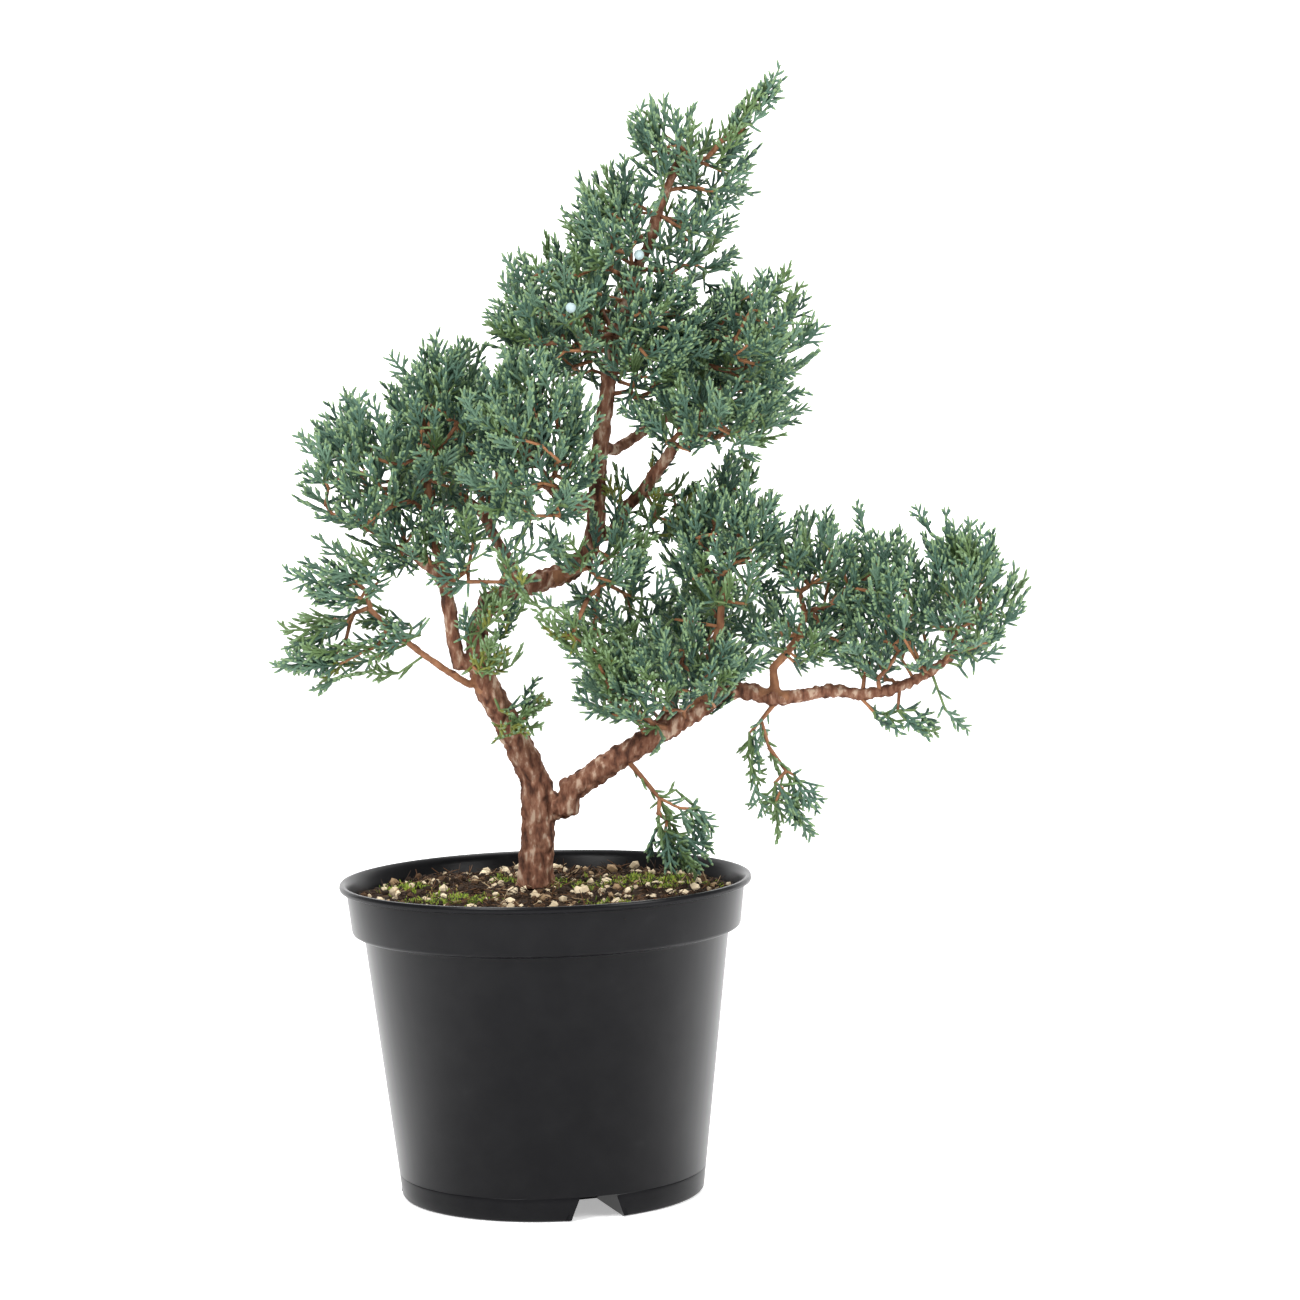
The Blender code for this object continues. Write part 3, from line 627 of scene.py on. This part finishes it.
groups = {
    "spraysTop": ["top_left", "top_right", "top_shoot", "upper_left", "upper_right"],
    "spraysCrown": ["left_shoulder", "middle", "right_high", "right_low", "under_bough"],
    "spraysFront": ["front_lobe", "inner_left", "inner_stem", "inner_tuft", "centre_fan", "centre_low"],
    "spraysLeft": ["left_high", "left_base", "left_outer", "left_fan", "left_open"],
    "spraysRight": ["mid_bough", "front_shoot", "cone", "outer_low", "outer_high", "hanging_inner",
                    "hanging_middle"],
    "spraysEnd": ["end_inner", "end_outer", "end_shoot", "hanging_outer"],
    "spraysBack": ["back_left", "back_shoulder", "back_right", "back_low"],
}


def wrapped(node):
    bm = bmesh.new()
    bm.from_mesh(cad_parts[node].data)
    bmesh.ops.remove_doubles(bm, verts=bm.verts, dist=merging)
    volume = abs(bm.calc_volume()) / mm ** 3
    tree = BVHTree.FromBMesh(bm)
    corners = [v.co.copy() for v in bm.verts]
    bm.free()
    return tree, volume, corners


def isInside(tree, point):
    # an odd number of hits on the way out means that the point is inside
    slant = Vector(foliage["ray"])
    hits = 0
    at = point.copy()
    while hits < foliage["mostHits"]:
        found = tree.ray_cast(at, slant.normalized())[0]
        if found is None:
            return hits % 2 == 1
        hits += 1
        at = found + slant * foliage["rayStep"] * mm
    return False


def targetsIn(node, habit):
    tree, volume, corners = wrapped(node)
    low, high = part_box(node)
    centre = sum(corners, Vector()) / len(corners)
    room = foliage["room"] * mm
    spacing = habit.get("spacing", foliage["spacing"])
    wanted = max(foliage["leastPoints"], round(volume / spacing ** 3))
    found = []
    for _ in range(wanted * foliage["tries"]):
        if len(found) == wanted:
            break
        point = Vector([dice.uniform(a, b) for a, b in zip(low, high)])
        if isInside(tree, point) and all((point - other).length > room for other in found):
            found.append(point)
    found = [centre.lerp(point, habit.get("inset", foliage["inset"])) for point in found]
    usualReach = sum((corner - centre).length for corner in corners) / len(corners)
    for corner in corners:
        away = corner - centre
        if away.length > usualReach * foliage["standOut"]:
            point = centre + away * (1 - foliage["standInset"] * mm / away.length)
            if all((point - other).length > room for other in found):
                found.append(point)
    return found, centre, high.z - low.z


limbCorners = [np.array([v.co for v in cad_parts[name].data.vertices]) for name in limbNodes]
wood = np.unique(np.round(np.concatenate(limbCorners), twigs["woodDigits"]), axis=0)
twigStart = len(wood)
twigPlaces = []      # where each twig ends
twigParents = []     # the wood or twig that it leaves, by number: wood first, then twigs
twigPaths = [0.0] * twigStart


def growTwigs(targets):
    grown = []
    known = np.concatenate([wood, np.array(twigPlaces).reshape(-1, 3)])
    paths = np.array(twigPaths)
    first = np.array([np.linalg.norm(wood - np.array(target), axis=1).min() for target in targets])
    for number in np.argsort(first):
        target = np.array(targets[number])
        away = np.linalg.norm(known - target, axis=1)
        cost = away + twigs["spread"] * paths + (away < foliage["room"] * mm) * twigs["tooNear"]
        best = int(np.argmin(cost))
        twigPlaces.append(target)
        twigParents.append(best)
        twigPaths.append(paths[best] + away[best])
        known = np.vstack([known, target])
        paths = np.append(paths, paths[best] + away[best])
        grown.append(len(twigPlaces) - 1)
    return grown


def startOf(one):
    parent = twigParents[one]
    return Vector(wood[parent] if parent < twigStart else twigPlaces[parent - twigStart])


def addCord(cords, start, heading, length, colour):
    bend = (up * sprays["rise"] + anyDirection() * sprays["stray"]) * length
    radius = sprays["cordRadius"] * dice.uniform(*sprays["radiusScale"]) * mm
    cords.append((start, heading, bend, length, radius, colour))
    return lambda share: start + heading * length * share + bend * share ** 2


def addSpray(cords, start, heading, length, colour):
    normal = heading.cross(anyDirection()).normalized()
    axis = addCord(cords, start, heading, length, colour)
    sides = sprays["fewCords"] if length < sprays["shortLength"] * mm else sprays["moreCords"]
    for step in range(sides):
        place = step + dice.uniform(-sprays["jitter"], sprays["jitter"])
        share = sprays["firstShare"] + sprays["shareSpan"] * place / (sides - 1)
        hand = 1 if step % 2 else -1
        angle = math.radians(dice.uniform(*sprays["sideAngle"])) * hand
        branch = (around(heading, angle, normal) + anyDirection() * sprays["sideStray"]).normalized()
        taper = sprays["sideStart"] - sprays["sideTaper"] * share
        reach = length * sprays["sideLength"] * taper * dice.uniform(*sprays["sideScale"])
        side = addCord(cords, axis(max(0, share)), branch, reach, colour)
        if reach > sprays["forkFrom"] * mm:
            twist = math.radians(dice.uniform(*sprays["forkAngle"])) * dice.choice((-1, 1))
            addCord(cords, side(sprays["forkShare"]), around(branch, twist, normal),
                    reach * sprays["forkLength"], colour)


def addLeaves(cords, before, place, along, colour):
    gap = (place - before).length
    leafy = int(min(gap, foliage["leafyLength"] * mm) / (foliage["leafStep"] * mm))
    for step in range(leafy):
        share = 1 - (step + dice.random()) * foliage["leafStep"] * mm / gap
        normal = along.cross(anyDirection()).normalized()
        side = around(along, math.radians(dice.uniform(*foliage["leafAngle"])), normal)
        start = before.lerp(place, max(foliage["leafStart"], share))
        addCord(cords, start, side, dice.uniform(*foliage["leafLength"]) * mm, colour)


def dressMass(cords, node):
    habit = habits.get(node, {})
    targets, centre, height = targetsIn(node, habit)
    hub = centre - up * height * foliage["hub"]
    pull = Vector(habit.get("pull", foliage["pull"]))
    grown = growTwigs(targets)
    farthest = max((Vector(twigPlaces[one]) - centre).length for one in grown)
    for one in grown:
        place = Vector(twigPlaces[one])
        before = startOf(one)
        along = (place - before).normalized()
        outward = (place - hub).normalized() if "pull" not in habit else pull.normalized()
        heading = (outward * foliage["outward"] + along * foliage["along"] + pull * foliage["pulled"]
                   + anyDirection() * foliage["stray"]).normalized()
        # deep sprays are dealt more near a mass's middle and light ones near its outside: painted shade
        # inside the foliage and painted light on its outside
        weights = list(tints.get(node, usual))
        depth = (place - centre).length / farthest
        weights[0] *= foliage["light"][0] + foliage["light"][1] * depth
        weights[2] *= foliage["deep"][0] + foliage["deep"][1] * depth
        colour = dice.choices(range(len(weights)), weights)[0]
        length = dice.uniform(*sprays["length"]) * habit.get("length", 1) * mm
        addSpray(cords, place, heading, length, colour)
        addLeaves(cords, before, place, along, colour)


def buildFoliage():
    colours = [newMaterial(name, colour, 0.62, 0.35) for name, colour in palette]
    total = 0
    for group, masses in groups.items():
        cords = []
        nodes = ["foliage_" + name for name in masses]
        for node in nodes:
            dressMass(cords, node)
        parts = math.ceil(len(cords) / foliage["cordLimit"])
        share = math.ceil(len(cords) / parts)
        for part in range(parts):
            some = cords[part * share:(part + 1) * share]
            name = group if part == 0 else "%s%d" % (group, part + 1)
            arrays = cordArrays(some, sprays["profile"], sprays["sides"], tipNumber=len(palette) - 1)
            mesh = meshFromArrays(name, *arrays)
            finished(addObject(name, mesh, *colours), "foliage_blue", *nodes)
            total += len(mesh.polygons)
        print(group, len(cords), "cords")
    print("spray triangles", total)


def buildTwigs():
    # how many sprays each twig carries, its own and those of the twigs that leave it
    carried = [1] * len(twigPlaces)
    for one in range(len(twigPlaces) - 1, -1, -1):
        if twigParents[one] >= twigStart:
            carried[twigParents[one] - twigStart] += carried[one]
    cords = []
    for one, place in enumerate(twigPlaces):
        start = startOf(one)
        away = Vector(place) - start
        radius = min(twigs["limit"], twigs["radius"] + twigs["growth"] * math.sqrt(carried[one]))
        heading = away.normalized()
        start = start - heading * twigs["sunk"] * mm
        kind = 0 if carried[one] > twigs["barkOver"] else 1 if carried[one] > twigs["redOver"] else 2
        cords.append((start, heading, Vector(), away.length + 2 * twigs["sunk"] * mm, radius * mm, kind))
    woods = [youngBark, newMaterial("twigRed", (0.30, 0.135, 0.06), 0.7, 0.3),
             newMaterial("twigGreen", (0.13, 0.20, 0.075), 0.65, 0.3)]
    arrays = cordArrays(cords, twigs["profile"], twigs["sides"])
    finished(addObject("twigs", meshFromArrays("twigs", *arrays), *woods), "bark")
    print("twigs", len(cords))


buildFoliage()
buildTwigs()

berries = dict(radius=2.3, sides=20, rings=14, places=[(50, -25, 430), (19, -38, 407)])


def buildBerries():
    bm = bmesh.new()
    for place in berries["places"]:
        bmesh.ops.create_uvsphere(bm, u_segments=berries["sides"], v_segments=berries["rings"],
                                  radius=berries["radius"] * mm,
                                  matrix=Matrix.Translation(Vector(place) * mm))
    mesh = meshFrom(bm, "berries")
    mesh.shade_smooth()
    skin = newMaterial("berrySkin", (0.38, 0.48, 0.50), 0.55, 0.4)
    finished(addObject("berries", mesh, skin), "foliage_blue")


buildBerries()
print("foliage built")


# Studio: a white floor and back wall that glow, three soft lights and the photo's camera

studio = dict(
    camera=(50.7, -1818.5, 400.9), pitch=4.75, roll=-1.374, lens=110.1, sensor=36, clipEnd=100000,
    planeSize=9000, paint=(0.92, 0.92, 0.92), floorGlow=0.4, worldStrength=0.55,
    wallDistance=4400, wallMiddle=3500, wallGlow=1.1,
    # place, aimed at, size, power in watts
    lights=[((-900, -1300, 1500), (0, 0, 250), 900, 34), ((1300, -900, 1100), (40, 0, 220), 800, 18),
            ((100, 700, 1900), (40, 0, 250), 1000, 30)],
)


def glowing(made, strength):
    shader = made.node_tree.nodes["Principled BSDF"]
    shader.inputs["Emission Color"].default_value = (1, 1, 1, 1)
    shader.inputs["Emission Strength"].default_value = strength
    return made


def stagePlane(name, place, made):
    bm = bmesh.new()
    bmesh.ops.create_grid(bm, x_segments=1, y_segments=1, size=studio["planeSize"] * mm / 2,
                          matrix=place)
    addObject(name, meshFrom(bm, name), made)


def buildStage():
    pale = glowing(newMaterial("paleFloor", studio["paint"], 0.7, 0.2), studio["floorGlow"])
    stagePlane("studioFloor", Matrix.Identity(4), pale)
    white = glowing(newMaterial("whiteWall", studio["paint"], 0.9, 0), studio["wallGlow"])
    behind = Matrix.Translation((0, studio["wallDistance"] * mm, studio["wallMiddle"] * mm))
    stagePlane("studioWall", behind @ Matrix.Rotation(math.radians(90), 4, "X"), white)


def buildLights(scene):
    world = bpy.data.worlds.new("studioWorld")
    world.use_nodes = True
    background = world.node_tree.nodes["Background"]
    background.inputs["Color"].default_value = (1, 1, 1, 1)
    background.inputs["Strength"].default_value = studio["worldStrength"]
    scene.world = world
    for number, (place, target, size, power) in enumerate(studio["lights"]):
        light = bpy.data.lights.new("softbox%d" % (number + 1), "AREA")
        light.shape = "DISK"
        light.size = size * mm
        light.energy = power
        lamp = bpy.data.objects.new(light.name, light)
        lamp.location = Vector(place) * mm
        lamp.rotation_euler = (Vector(target) - Vector(place)).to_track_quat("-Z", "Y").to_euler()
        scene.collection.objects.link(lamp)


def buildCamera(scene):
    lens = bpy.data.cameras.new("camera")
    lens.lens = studio["lens"]
    lens.sensor_width = studio["sensor"]
    lens.clip_end = studio["clipEnd"] * mm
    camera = bpy.data.objects.new("camera", lens)
    tilt = Matrix.Rotation(math.radians(90 - studio["pitch"]), 4, "X")
    roll = Matrix.Rotation(math.radians(studio["roll"]), 4, "Z")
    camera.matrix_world = Matrix.Translation(Vector(studio["camera"]) * mm) @ tilt @ roll
    scene.collection.objects.link(camera)
    scene.camera = camera


bpy.context.scene.view_settings.view_transform = "Standard"
buildStage()
buildLights(bpy.context.scene)
buildCamera(bpy.context.scene)
print("studio built")
